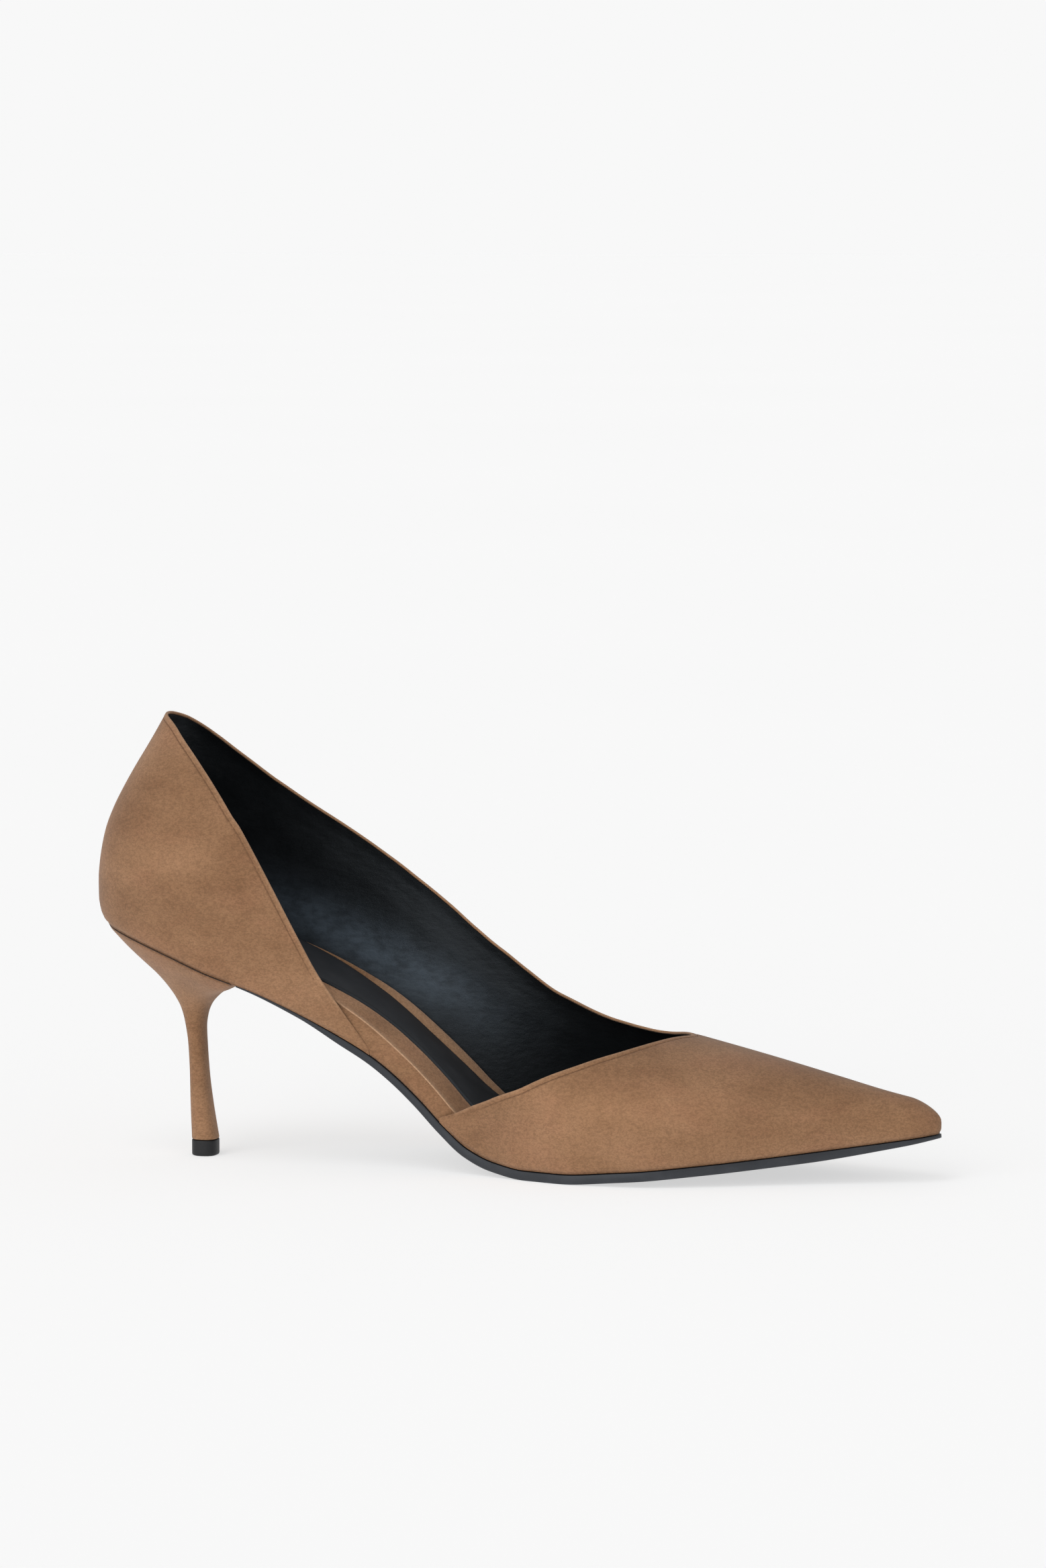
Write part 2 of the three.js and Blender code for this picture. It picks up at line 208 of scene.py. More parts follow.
def add_floor():
    finish = Finish(
        "floor_paper", Roughness=0.9, Specular_IOR_Level=0.0,
        Emission_Color=(1, 1, 1, 1), Emission_Strength=FLOOR_GLOW,
    )
    fleck = finish.noise(FLECK_SIZE, detail=1)
    finish.surface(Base_Color=finish.blend(fleck, FLOOR_COLOUR, FLOOR_FLECK))
    mesh = bpy.data.meshes.new("floor")
    corners = [(-1, -1), (1, -1), (1, 1), (-1, 1)]
    points = [(FLOOR_REACH * x, FLOOR_REACH * y, 0) for x, y in corners]
    mesh.from_pydata(points, [], [(0, 1, 2, 3)])
    mesh.materials.append(finish.material)
    floor = bpy.data.objects.new("floor", mesh)
    scene.collection.objects.link(floor)


def add_sky():
    """Light that fades upward from the horizon. The camera sees a plain pale colour instead."""
    world = bpy.data.worlds.new("soft_room")
    scene.world = world
    world.use_nodes = True
    nodes, links = world.node_tree.nodes, world.node_tree.links
    lit = nodes["Background"]
    lit.inputs["Color"].default_value = (1, 1, 1, 1)
    way = nodes.new("ShaderNodeTexCoord")
    up = nodes.new("ShaderNodeSeparateXYZ")
    fall = nodes.new("ShaderNodeMapRange")
    fall.inputs["To Min"].default_value = SKY_AT_HORIZON
    fall.inputs["To Max"].default_value = SKY_OVERHEAD
    links.new(way.outputs["Generated"], up.inputs[0])
    links.new(up.outputs["Z"], fall.inputs["Value"])
    links.new(fall.outputs[0], lit.inputs["Strength"])
    seen = nodes.new("ShaderNodeBackground")
    seen.inputs["Color"].default_value = SKY_SEEN
    choice = nodes.new("ShaderNodeMixShader")
    ray = nodes.new("ShaderNodeLightPath")
    links.new(ray.outputs["Is Camera Ray"], choice.inputs[0])
    links.new(lit.outputs[0], choice.inputs[1])
    links.new(seen.outputs[0], choice.inputs[2])
    links.new(choice.outputs[0], nodes["World Output"].inputs["Surface"])


add_camera()
add_floor()
add_sky()
add_lamp("side_lamp", (-1.0, -2.2, 1.1), softness=50, power=0.85, tint=(1, 0.98, 0.95))
add_lamp("top_lamp", (-0.2, -0.39, 0.9), softness=30, power=0.5, tint=(0.95, 0.98, 1))

# The upper. One wall of tan suede lasted round the foot, cut down to the sole along the inner
# waist, with its topline folded over a tape and stitched. The shape is the last's own: ribs
# stand on the sole's edge, and behind FAN they fan round the heel.
LENGTH = 254 * MM
WIDTH = 76 * MM
SEAT_HEIGHT = 68 * MM
COLLAR_HEIGHT = 62.7 * MM
INSTEP_HEIGHT = 74 * MM
TOE_SPRING = 11.3 * MM
NOSE_HEIGHT = 3.2 * MM
SWELL = 5 * MM
SWELL_PULL = 1.8
SHOULDER = 0.62
UPPER_WALL = 1.4 * MM
OUTSOLE_THICKNESS = 2.7 * MM
CLEARANCE = 0.3 * MM
FAN = 0.19
FAN_POWER = 2.3
NOSE = 0.962

OUTLINE = {
    "at": (0.19, 0.27, 0.36, 0.45, 0.53, 0.6, 0.66, 0.74, 0.82, 0.9, 0.95, 1),
    "inner": (0.31, 0.292, 0.268, 0.3, 0.392, 0.455, 0.46, 0.385, 0.275, 0.168, 0.112, 0.062),
    "outer": (0.318, 0.315, 0.305, 0.352, 0.43, 0.48, 0.478, 0.415, 0.305, 0.188, 0.124, 0.068),
}
SWING = {"at": (0.1, 0.36, 0.58, 0.8, 1), "shift": (0, 0.018, 0, -0.035, -0.075)}
LIFT = {
    "at": (0, 0.05, 0.1, 0.15, 0.2, 0.25, 0.3, 0.34, 0.37, 0.4, 0.43, 0.46, 0.49, 0.535, 0.575,
           0.64, 0.72, 0.8, 0.9, 1),
    "arch": (1.04, 0.978, 0.908, 0.828, 0.76, 0.672, 0.57, 0.476, 0.386, 0.28, 0.164, 0.07, 0.025,
             0, 0, 0, 0, 0, 0, 0),
    "spring": (0, 0, 0, 0, 0, 0, 0, 0, 0, 0, 0, 0, 0, 0, 0, 0.1, 0.26, 0.44, 0.7, 1),
}
RIBS = {
    "at": (0.19, 0.27, 0.36, 0.45, 0.53, 0.6, 0.66, 0.72, 0.8, 0.88, 0.94, 1),
    "top": (0.872, 0.905, 0.953, 1, 0.831, 0.648, 0.523, 0.456, 0.363, 0.262, 0.183, 0.112),
    "swell": (1, 0.9, 0.84, 0.72, 0.52, 0.4, 0.34, 0.3, 0.24, 0.18, 0.14, 0.1),
    "belly": (0.55, 0.52, 0.5, 0.48, 0.47, 0.46, 0.46, 0.48, 0.5, 0.52, 0.54, 0.55),
    "inner": (0.184, 0.171, 0.151, 0.105, 0.053, 0.013, 0, 0, 0, 0, 0, 0),
    "outer": (0.184, 0.184, 0.171, 0.132, 0.066, 0.02, 0, 0, 0, 0, 0, 0),
}
BACK = {
    "at": (0, 0.05, 0.12, 0.2, 0.28, 0.36, 0.44, 0.54, 0.64, 0.74, 0.84, 0.92, 1),
    "lean": (0.036, 0.011, 0, 0, 0.006, 0.018, 0.036, 0.074, 0.124, 0.18, 0.24, 0.286, 0.33),
}
INNER_QUARTER = {
    "at": (0, 0.03, 0.05, 0.07, 0.09, 0.11, 0.13, 0.15, 0.17, 0.187, 0.21, 0.236, 0.26, 0.282,
           0.31, 0.34),
    "edge": (1, 0.984, 0.961, 0.924, 0.88, 0.83, 0.774, 0.71, 0.63, 0.546, 0.437, 0.325, 0.229,
             0.15, 0.08, 0.015),
}
INNER_VAMP = {
    "at": (0.424, 0.46, 0.49, 0.54, 0.587, 0.63, 0.67, 0.688, 0.699, 0.705, 0.7085),
    "edge": (0.012, 0.117, 0.188, 0.307, 0.447, 0.596, 0.777, 0.87, 0.931, 0.968, 1),
}
OUTER_EDGE = {
    "at": (0, 0.03, 0.045, 0.06, 0.077, 0.094, 0.11, 0.13, 0.16, 0.18, 0.2, 0.22, 0.24, 0.27,
           0.3, 0.33, 0.36, 0.4, 0.43, 0.46, 0.5, 0.53, 0.56, 0.59, 0.62, 0.64, 0.66, 0.675,
           0.688, 0.699, 0.705, 0.7085),
    "edge": (1, 0.994, 0.985, 0.972, 0.951, 0.922, 0.891, 0.85, 0.79, 0.742, 0.694, 0.658, 0.634,
             0.607, 0.582, 0.559, 0.546, 0.5435, 0.545, 0.547, 0.55, 0.555, 0.568, 0.598, 0.641,
             0.681, 0.727, 0.768, 0.824, 0.893, 0.945, 1),
}
THROAT = INNER_VAMP["at"][-1]
SIGN = {"inner": -1, "outer": 1}
STEP_ALONG = 0.002
SEAM_RIBS = np.array((0.3, 0.6, 0.9)) * MM
THROAT_RIBS = np.arange(0.3, 3.3, 0.3) * MM
LEAST_STEP = 0.0005

# The middle of the footprint, where the frame has its origin, seen from the back of the seat.
heel_tip_low, heel_tip_high = (Vector(corner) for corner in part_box("heel_tip"))
ORIGIN = np.array((
    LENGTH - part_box("upper")[1][0],
    -(heel_tip_low.y + heel_tip_high.y) / 2,
    0,
))


def along(table, column, place, key="at"):
    """A column's value at each place, on a smooth curve that never overshoots its rows."""
    xs = np.array(table[key], float)
    ys = np.array(table[column], float)
    rise = np.diff(ys) / np.diff(xs)
    before, after = rise[:-1], rise[1:]
    same_way = before * after > 0
    total = np.where(same_way, before + after, 1)
    slope = np.concatenate([rise[:1], np.where(same_way, 2 * before * after / total, 0), rise[-1:]])
    x = np.clip(place, xs[0], xs[-1])
    i = np.clip(np.searchsorted(xs, x, side="right") - 1, 0, len(xs) - 2)
    gap = xs[i + 1] - xs[i]
    t = (x - xs[i]) / gap
    bend = t * t * (3 - 2 * t)
    swing_in = (t ** 3 - 2 * t * t + t) * slope[i] + (t ** 3 - t * t) * slope[i + 1]
    return ys[i] + (ys[i + 1] - ys[i]) * bend + swing_in * gap


def bezier(a, b, c, d, t):
    s = 1 - t
    return a * s ** 3 + 3 * b * s * s * t + 3 * c * s * t * t + d * t ** 3


def tread_height(x):
    """Top of the outsole and of the heel."""
    at = x / LENGTH
    arch = along(LIFT, "arch", at) * (SEAT_HEIGHT - OUTSOLE_THICKNESS)
    return OUTSOLE_THICKNESS + arch + along(LIFT, "spring", at) * TOE_SPRING


def foot_height(x):
    """Underside of the upper and of the insole."""
    return tread_height(x) + CLEARANCE


def swing(x):
    return WIDTH * along(SWING, "shift", x / LENGTH)


def section(at, side, share):
    """Reach and height of a rib that stands across the shoe."""
    nose = np.sqrt(1 - np.clip((at - NOSE) / (1 - NOSE), 0, 1) ** 2)
    foot = WIDTH * along(OUTLINE, side, at) * nose
    tall = NOSE_HEIGHT + (INSTEP_HEIGHT * along(RIBS, "top", at) - NOSE_HEIGHT) * nose
    crown = WIDTH * along(RIBS, side, at)
    swell = SWELL_PULL * SWELL * along(RIBS, "swell", at) * nose
    shoulder = crown + (foot - crown) * SHOULDER
    reach = bezier(foot, foot + swell, shoulder, crown, share)
    return reach, tall * bezier(0, along(RIBS, "belly", at), 1, 1, share)


def last_point(at, side, share):
    """Points of the upper's outside, by the place of the rib's foot and the way up the rib."""
    at, share = np.broadcast_arrays(np.asarray(at, float), np.asarray(share, float))
    reach, height = section(np.maximum(at, FAN), side, share)
    turn = np.clip(1 - at / FAN, 0, 1)
    back = turn ** (2 / FAN_POWER)
    across = np.sqrt(1 - turn * turn) ** (2 / FAN_POWER)
    centre = FAN * LENGTH
    lean = COLLAR_HEIGHT * along(BACK, "lean", share)
    foot_lean = COLLAR_HEIGHT * along(BACK, "lean", 0)
    x = np.where(at < FAN, centre - (centre - lean) * back, at * LENGTH)
    foot = np.where(at < FAN, centre - (centre - foot_lean) * back, at * LENGTH)
    tall = height + (share * COLLAR_HEIGHT - height) * turn * turn
    return np.stack([x, swing(x) + SIGN[side] * reach * across, foot_height(foot) + tall], -1)


def places(first, last, fan_steps=44, middle_steps=150, nose_steps=18):
    """Places of the ribs from heel to toe, close together round the heel and at the nose."""
    off_seam = SEAM_RIBS / (OUTLINE["inner"][0] * WIDTH)
    seam = FAN * (1 - np.sqrt(1 - off_seam ** FAN_POWER))
    fan = FAN * (1 - np.cos(np.arange(1, fan_steps) / fan_steps * math.pi / 2))
    middle = FAN + (NOSE - FAN) * np.arange(middle_steps) / middle_steps
    nose = NOSE + (1 - NOSE) * np.sin(np.arange(nose_steps + 1) / nose_steps * math.pi / 2)
    everywhere = np.concatenate([seam, fan, middle, nose])
    margin = 0 if first == 0 else LEAST_STEP
    inside = everywhere[(everywhere > first + margin) & (everywhere < last - LEAST_STEP)]
    return np.concatenate([[first], inside, [last]])


def unit(vectors):
    return vectors / np.maximum(np.linalg.norm(vectors, axis=-1, keepdims=True), 1e-12)


def eased(share):
    """A share held between 0 and 1 and eased at both ends."""
    held = np.clip(share, 0, 1)
    return held * held * (3 - 2 * held)


def ridge_inward(at):
    """Direction into the shoe from the ridge of the vamp."""
    ahead = last_point(min(1, at + STEP_ALONG), "inner", 1)
    run = ahead - last_point(at - STEP_ALONG, "inner", 1)
    return unit(np.array((run[2], 0, -run[0])))


# Each rib has close rows below its topline, for the fold and the groove, and close rows above
# the sole, which take no more than a share of a short rib. The wall's rows between stand even.
EDGE_ROWS = np.array((
    0, 0.25, 0.5, 0.75, 0.95, 1.1, 1.2, 1.3, 1.4, 1.5, 1.65, 1.9, 2.3, 2.9, 3.7, 4.8,
)) * MM
FOLD_ROW = 1
WALL_ROWS = 32
FOOT_ROWS = np.array((1.7, 1.2, 0.8, 0.45, 0.2, 0)) * MM
MOST_EDGE = 0.5
MOST_FOOT = 0.3
RIB_SAMPLES = 161
ROLL_STEPS = 7

# The fold lies back from the last's own edge by EDGE_RETREAT, which dies out toward the throat.
SUEDE_THICKNESS = 0.75 * MM
EDGE_RETREAT = 0.4 * MM
RETREAT_RUN = 0.03
STITCH_LINE = 1.3 * MM


class Rib:
    """One rib of the upper: rows of points from its edge down to the sole."""

    def __init__(self, at, side, edge):
        self.at = at
        self.open = at < THROAT
        shares = np.linspace(edge, 0, RIB_SAMPLES)
        points = last_point(at, side, shares)
        run = np.concatenate([[0], np.cumsum(np.linalg.norm(np.diff(points, axis=0), axis=1))])
        self.tall = run[-1]
        squeeze = min(1, MOST_EDGE * self.tall / EDGE_ROWS[-1])
        foot_squeeze = min(1, MOST_FOOT * self.tall / FOOT_ROWS[0])
        off_throat = np.clip((THROAT - at) / RETREAT_RUN, 0, 1)
        top = EDGE_RETREAT * off_throat * squeeze + EDGE_ROWS * squeeze
        foot = self.tall - FOOT_ROWS * foot_squeeze
        wall = np.linspace(top[-1], foot[0], WALL_ROWS + 2)[1:-1]
        self.depths = np.concatenate([top, wall, foot])
        self.points = last_point(at, side, np.interp(self.depths, run, shares))


def upper_ribs():
    """Ribs in one run: vamp's inner corner, round the toe and the heel, to the inner quarter."""
    toe = np.sort(np.concatenate([places(THROAT, 1)[1:], THROAT + THROAT_RIBS / LENGTH]))
    vamp = np.concatenate([places(INNER_VAMP["at"][0], THROAT), toe])
    outer = np.concatenate([places(0, THROAT), toe])[::-1][1:]
    quarter = places(0, INNER_QUARTER["at"][-1])[1:]
    made = [Rib(at, "inner", along(INNER_VAMP, "edge", at)) for at in vamp]
    made += [Rib(at, "outer", along(OUTER_EDGE, "edge", at)) for at in outer]
    made += [Rib(at, "inner", along(INNER_QUARTER, "edge", at)) for at in quarter]
    return made


def inward_of(points):
    """Unit vectors square to the surface, into the shoe."""
    along_shoe = np.gradient(points, axis=0)
    up_rib = -np.gradient(points, axis=1)
    inward = unit(np.cross(up_rib, along_shoe))
    for i, rib in enumerate(ribs):
        if not rib.open:
            inward[i, 0] = ridge_inward(rib.at)
    return inward


def topline_outward():
    """The ribs that reach the topline, and unit vectors square to it, away from the suede."""
    edge = [i for i, rib in enumerate(ribs) if rib.open or rib.at == THROAT]
    line = last[edge, 0]
    ahead = np.minimum(np.arange(len(line)) + 1, len(line) - 1)
    behind = np.maximum(np.arange(len(line)) - 1, 0)
    for k in range(1, len(line) - 2):
        if np.allclose(line[k], line[k + 1], atol=1e-9):
            ahead[k] = k + 2
            behind[k + 1] = k - 1
    tangent = unit(line[ahead] - line[behind])
    outward = np.zeros((len(ribs), 3))
    outward[edge] = unit(np.cross(tangent, inward[edge, 0]))
    return edge, outward


def topline_distance(points):
    """Distance of each point from the nearest place on the topline."""
    line = last[edge, 0]
    nearest = np.full(points.shape[:-1], 1.0)
    for start, end in zip(line[:-1], line[1:]):
        step = end - start
        length = step @ step
        share = np.clip((points - start) @ step / length, 0, 1) if length > 1e-14 else 0 * nearest
        gap = np.linalg.norm(points - start - share[..., None] * step, axis=-1)
        nearest = np.minimum(nearest, gap)
    return nearest


def strip(start, ring, steps):
    """Quads between a ring of points and the next one."""
    pairs = [(start + j, start + (j + 1) % ring) for j in range(steps)]
    return [(a, b, b + ring, a + ring) for a, b in pairs]


def shell(outside, inside, rim):
    """Points and quads of a closed wall whose rings run down its outside and up its inside.

    The rim's points close each ring over the topline. Ahead of the throat, where the two sides
    of the vamp meet on its ridge, a ring stays open there.
    """
    rows, over = outside.shape[1], rim.shape[1]
    rings = np.concatenate([outside, inside[:, ::-1], rim], axis=1)
    ring = 2 * rows + over
    faces = []
    for i in range(len(rings) - 1):
        steps = ring if ribs[i].open or ribs[i + 1].open else 2 * rows - 1
        faces += strip(i * ring, ring, steps)
    for start in (0, (len(rings) - 1) * ring):
        up = start + 2 * rows - 1
        faces += [(start + j, start + j + 1, up - j - 1, up - j) for j in range(rows - 1)]
        if over:
            faces.append((start, up, *range(up + 1, start + ring)))
    return rings.reshape(-1, 3), faces


def add_piece(name, points, faces, finish, sharp=35, **marks):
    """A mesh piece from points and faces: doubles merged, faces outward, marks on its points."""
    mesh = bpy.data.meshes.new(name)
    mesh.from_pydata((points - ORIGIN).tolist(), [], faces)
    for mark, values in marks.items():
        layer = mesh.attributes.new(mark, "FLOAT", "POINT")
        layer.data.foreach_set("value", np.asarray(values, np.float32).ravel())
    body = bmesh.new()
    body.from_mesh(mesh)
    bmesh.ops.remove_doubles(body, verts=body.verts, dist=1e-7)
    bmesh.ops.dissolve_degenerate(body, edges=body.edges, dist=1e-8)
    bmesh.ops.recalc_face_normals(body, faces=body.faces)
    body.to_mesh(mesh)
    body.free()
    mesh.shade_smooth()
    mesh.set_sharp_from_angle(angle=math.radians(sharp))
    mesh.materials.append(finish.material)
    piece = bpy.data.objects.new(name, mesh)
    scene.collection.objects.link(piece)
    return piece


ribs = upper_ribs()
last = np.array([rib.points for rib in ribs])
depths = np.array([rib.depths for rib in ribs])
above_sole = np.array([[rib.tall] for rib in ribs]) - depths
inward = inward_of(last)
edge, outward = topline_outward()
from_edge = topline_distance(last)
rib_open = np.array([rib.open for rib in ribs])
rib_at = np.array([rib.at for rib in ribs])

# The wall is skived to a share of its thickness at the topline, and is whole again further down.
EDGE_THIN = 0.55
SKIVE_START = 2 * MM
SKIVE_RUN = 10 * MM
skive = EDGE_THIN + (1 - EDGE_THIN) * eased((from_edge - SKIVE_START) / SKIVE_RUN)

# At the waist the topline runs down into the sole. There the fold flattens and lies flush on the
# wrapped insole, and the groove dies out. Each grows with the rib's height, from START over RUN.
FOLD_START = 5 * MM
FOLD_RUN = 7 * MM
GROOVE_START = 10 * MM
GROOVE_RUN = 18 * MM
rib_tall = above_sole[:, :1] + depths[:, :1]
edge_height = eased((rib_tall - FOLD_START) / FOLD_RUN)
groove_height = eased((rib_tall - GROOVE_START) / GROOVE_RUN)

# Soft troughs and ridges of the lasted suede, seen from the side: ends in shares of the length
# and of the instep height, width and rise in millimetres.
CREASES = (
    ("inner", (0.46, 0.10), (0.56, 0.27), 3.5, -0.30),
    ("inner", (0.52, 0.12), (0.63, 0.30), 6.0, 0.30),
    ("inner", (0.62, 0.13), (0.74, 0.33), 6.0, -0.22),
    ("inner", (0.80, 0.36), (0.92, 0.27), 3.0, -0.15),
    ("inner", (0.04, 1.00), (0.20, 1.08), 6.0, -0.25),
    ("inner", (0.05, 1.25), (0.17, 1.20), 7.0, -0.20),
    ("outer", (0.55, 0.20), (0.62, 0.45), 6.0, -0.25),
    ("outer", (0.10, 1.05), (0.30, 0.90), 8.0, -0.20),
)

# Lighter and darker patches of the nap's tone, partly painted light and shade: middle in the same
# shares, reach along and up in millimetres, and tone.
TONE_PATCHES = (
    ("inner", (0.64, 0.32), (22, 7), 1.5),
    ("inner", (0.74, 0.30), (12, 5), 0.4),
    ("inner", (0.58, 0.16), (14, 5), 0.45),
    ("inner", (0.50, 0.22), (9, 7), -0.9),
    ("inner", (0.88, 0.20), (13, 3.5), -0.5),
    ("inner", (0.88, 0.27), (12, 2), 0.35),
    ("inner", (0.10, 1.24), (18, 6), 0.4),
    ("inner", (0.06, 1.06), (14, 6), -0.4),
    ("outer", (0.60, 0.34), (26, 8), 0.6),
    ("outer", (0.84, 0.20), (16, 5), -0.4),
    ("outer", (0.22, 1.05), (26, 9), 0.5),
    ("outer", (0.40, 0.70), (18, 8), -0.3),
)


def tone_from_patches(points):
    """Tone at each point from the patches of its side, partly painted light and shade."""
    side = np.sign(points[..., 1] - swing(points[..., 0]))
    tone = np.zeros(points.shape[:-1])
    for name, (at, up), (reach_along, reach_up), amount in TONE_PATCHES:
        away = (points[..., 0] - at * LENGTH) / (reach_along * MM)
        above = (points[..., 2] - up * INSTEP_HEIGHT) / (reach_up * MM)
        tone += amount * np.exp(-away ** 2 - above ** 2) * (side == SIGN[name])
    return tone


def crease_relief(points):
    """Rise of the surface at each point from the creases of its side."""
    side = np.sign(points[..., 1] - swing(points[..., 0]))
    seen = points[..., (0, 2)]
    rise = np.zeros(points.shape[:-1])
    for name, start, end, width, height in CREASES:
        a, b = (np.array((at * LENGTH, up * INSTEP_HEIGHT)) for at, up in (start, end))
        share = np.clip((seen - a) @ (b - a) / ((b - a) @ (b - a)), 0, 1)
        gap = np.linalg.norm(seen - a - share[..., None] * (b - a), axis=-1)
        rise += height * MM * np.exp(-(gap / (width * MM)) ** 2) * (side == SIGN[name])
    return rise


# Suede: a short dense nap with soft clouds where it was brushed, and no gloss. The points'
# marks carry a painted highlight on folds and crests, painted light on the insole's shaded bank,
# painted shade in seams, grooves and joints, and lighter and darker patches that are partly painted
# light and shade.
SUEDE_PAINTED_LIGHT = colour(204, 164, 130)
SUEDE_LIGHT = colour(161, 122, 91)
SUEDE_MIDDLE = colour(147, 110, 80)
SUEDE_RED = colour(152, 109, 81)
SUEDE_DARK = colour(130, 94, 66)
SUEDE_PAINTED_SHADE = colour(86, 58, 38)


def suede_finish(name):
    finish = Finish(
        name, Specular_IOR_Level=0.1, Sheen_Weight=0.15, Sheen_Roughness=0.6,
    )
    clouds = finish.noise(26 * MM, detail=2, roughness=0.5, where=finish.place(x=0.75, z=1.3))
    blots = finish.noise(6 * MM, detail=4, roughness=0.6, where=finish.place(x=0.8, z=1.3))
    warm = finish.noise(14 * MM, detail=3, roughness=0.5, where=finish.place(x=0.7, y=1.1, z=1.5))
    nap = finish.noise(1.1 * MM, detail=3, roughness=0.75, where=finish.place(x=0.8, z=1.25))
    fibres = finish.noise(0.5 * MM, detail=2, roughness=0.8, where=finish.place(x=0.75, z=1.2))
    brushed = clouds * 0.7 + blots * 0.3
    base = finish.node("ValToRGB", {"stops": (
        (0.3, SUEDE_DARK), (0.5, SUEDE_MIDDLE), (0.7, SUEDE_LIGHT),
    )}, {"Fac": brushed})
    base = finish.blend(finish.ramp(warm, 0.45, 0.7) * 0.35, base, SUEDE_RED)
    speck = finish.ramp(nap * 0.45 + fibres * 0.55, 0.38, 0.62)
    # The patches' mark lightens and darkens the nap, partly as painted light and shade.
    value = speck * 0.34 + 0.82 + finish.mark("brushed") * 0.13
    tone = finish.node("HueSaturation", {}, {"Value": value, "Color": base})
    # Painted highlight: folds, crests and the insole's shaded bank are lightened toward a pale tan.
    tone = finish.blend(finish.mark("pale") * (speck * 0.4 + 0.6), tone, SUEDE_PAINTED_LIGHT)
    # Painted shade: grooves, seams and joints are darkened toward dark brown.
    tone = finish.blend(finish.mark("seam") * (1 - speck * 0.3), tone, SUEDE_PAINTED_SHADE)
    height = nap * 0.5 + fibres * 0.35 + blots * 0.6
    finish.surface(
        Base_Color=tone,
        Roughness=0.98 - speck * 0.1,
        Normal=finish.bump(height, 0.22 * MM, strength=0.55),
    )
    return finish


LIP_RISE = 0.05 * MM
GROOVE_DEPTH = 0.14 * MM
BACK_SEAM_DEPTH = 0.2 * MM
FEATHERED = 0.5 * MM
FLATTENED = 0.5 * MM
NEAR_EDGE = 3 * MM


def bell(distance, middle, width):
    return np.exp(-((distance - middle) / width) ** 2)


def add_upper():
    """The suede: its outside, a roll over the topline, a short fold inside and its back."""
    lip = bell(from_edge, 0.55 * MM, 0.5 * MM) * edge_height
    groove = bell(from_edge, STITCH_LINE, 0.17 * MM) * groove_height
    off_seam = np.abs(last[..., 1] - swing(last[..., 0]))
    back_seam = bell(off_seam, 0, 0.3 * MM) * (rib_at < 0.02)[:, None]
    feather = bell(above_sole, 0, 0.8 * MM)
    near_edge = bell(from_edge, 0, NEAR_EDGE)
    relief = LIP_RISE * lip - GROOVE_DEPTH * groove
    relief -= BACK_SEAM_DEPTH * back_seam + FEATHERED * feather
    relief -= FLATTENED * near_edge * (1 - edge_height)
    relief += crease_relief(last) * (1 - near_edge)
    outside = last - inward * relief[..., None]
    fold = (np.arange(last.shape[1]) <= FOLD_ROW)[None, :] & rib_open[:, None]
    wall = np.where(fold, UPPER_WALL, SUEDE_THICKNESS) * skive
    inside = last + inward * wall[..., None]
    for face in (outside, inside):
        face[:, -1, 2] = foot_height(face[:, -1, 0])
    fold_end = last[:, 0] + inward[:, 0] * UPPER_WALL * EDGE_THIN
    middle = (outside[:, 0] + fold_end) / 2
    reach = (outside[:, 0] - fold_end) / 2
    radius = np.linalg.norm(reach, axis=1, keepdims=True)
    rim = np.stack([
        middle - reach * math.cos(angle) + outward * radius * math.sin(angle)
        for angle in np.linspace(0, math.pi, ROLL_STEPS + 2)[1:-1]
    ], axis=1)
    points, faces = shell(outside, inside, rim)
    still = np.zeros(last.shape[:2])
    # Painted highlight along the folded edge and over its roll.
    over = np.full(rim.shape[:2], 0.3) * edge_height
    pale = 0.25 * bell(from_edge, 0, 0.35 * MM) * edge_height
    # Painted shade in the stitch groove, the back seam and the joint with the sole.
    seam = 0.7 * groove + 0.3 * back_seam + 0.6 * bell(above_sole, 0, 0.35 * MM)
    return add_piece(
        "upper_suede", points, faces, suede_finish("tan_suede"), sharp=60,
        pale=np.concatenate([pale, still, over], axis=1),
        seam=np.concatenate([seam, still, 0 * over], axis=1),
        brushed=np.concatenate([tone_from_patches(last), still, 0 * over], axis=1),
    )


upper = add_upper()
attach(upper, "root")
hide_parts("upper")

# The lining. Thin black leather glued inside the suede up to the fold of its topline, over a
# stiffening tape. It is smooth and a little glossy, with fine wrinkles where it was pulled over
# the last, and a painted sheen, a bluish-grey reflection painted low on the outer side.
LINING_BLACK = colour(10, 11, 12)
GLUE_LINE = 0.01 * MM
TAPE_LINE = 5.2 * MM
TAPE_WIDTH = 1.2 * MM
TAPE_RISE = 0.07 * MM
PAINTED_SHEEN = {
    "at": (0.14, 0.2, 0.26, 0.3, 0.34, 0.38, 0.42, 0.47, 0.54),
    "height": (18, 18.4, 19.2, 19.4, 20.8, 23.8, 28.9, 33, 36),
    "strength": (0, 0.65, 0.95, 1, 1, 0.9, 0.6, 0.15, 0),
}
PAINTED_SHEEN_WIDTH = 8.5 * MM
PAINTED_SHEEN_COLOUR = colour(74, 84, 94)
SHADE_BLACK = (0.002, 0.002, 0.002, 1)


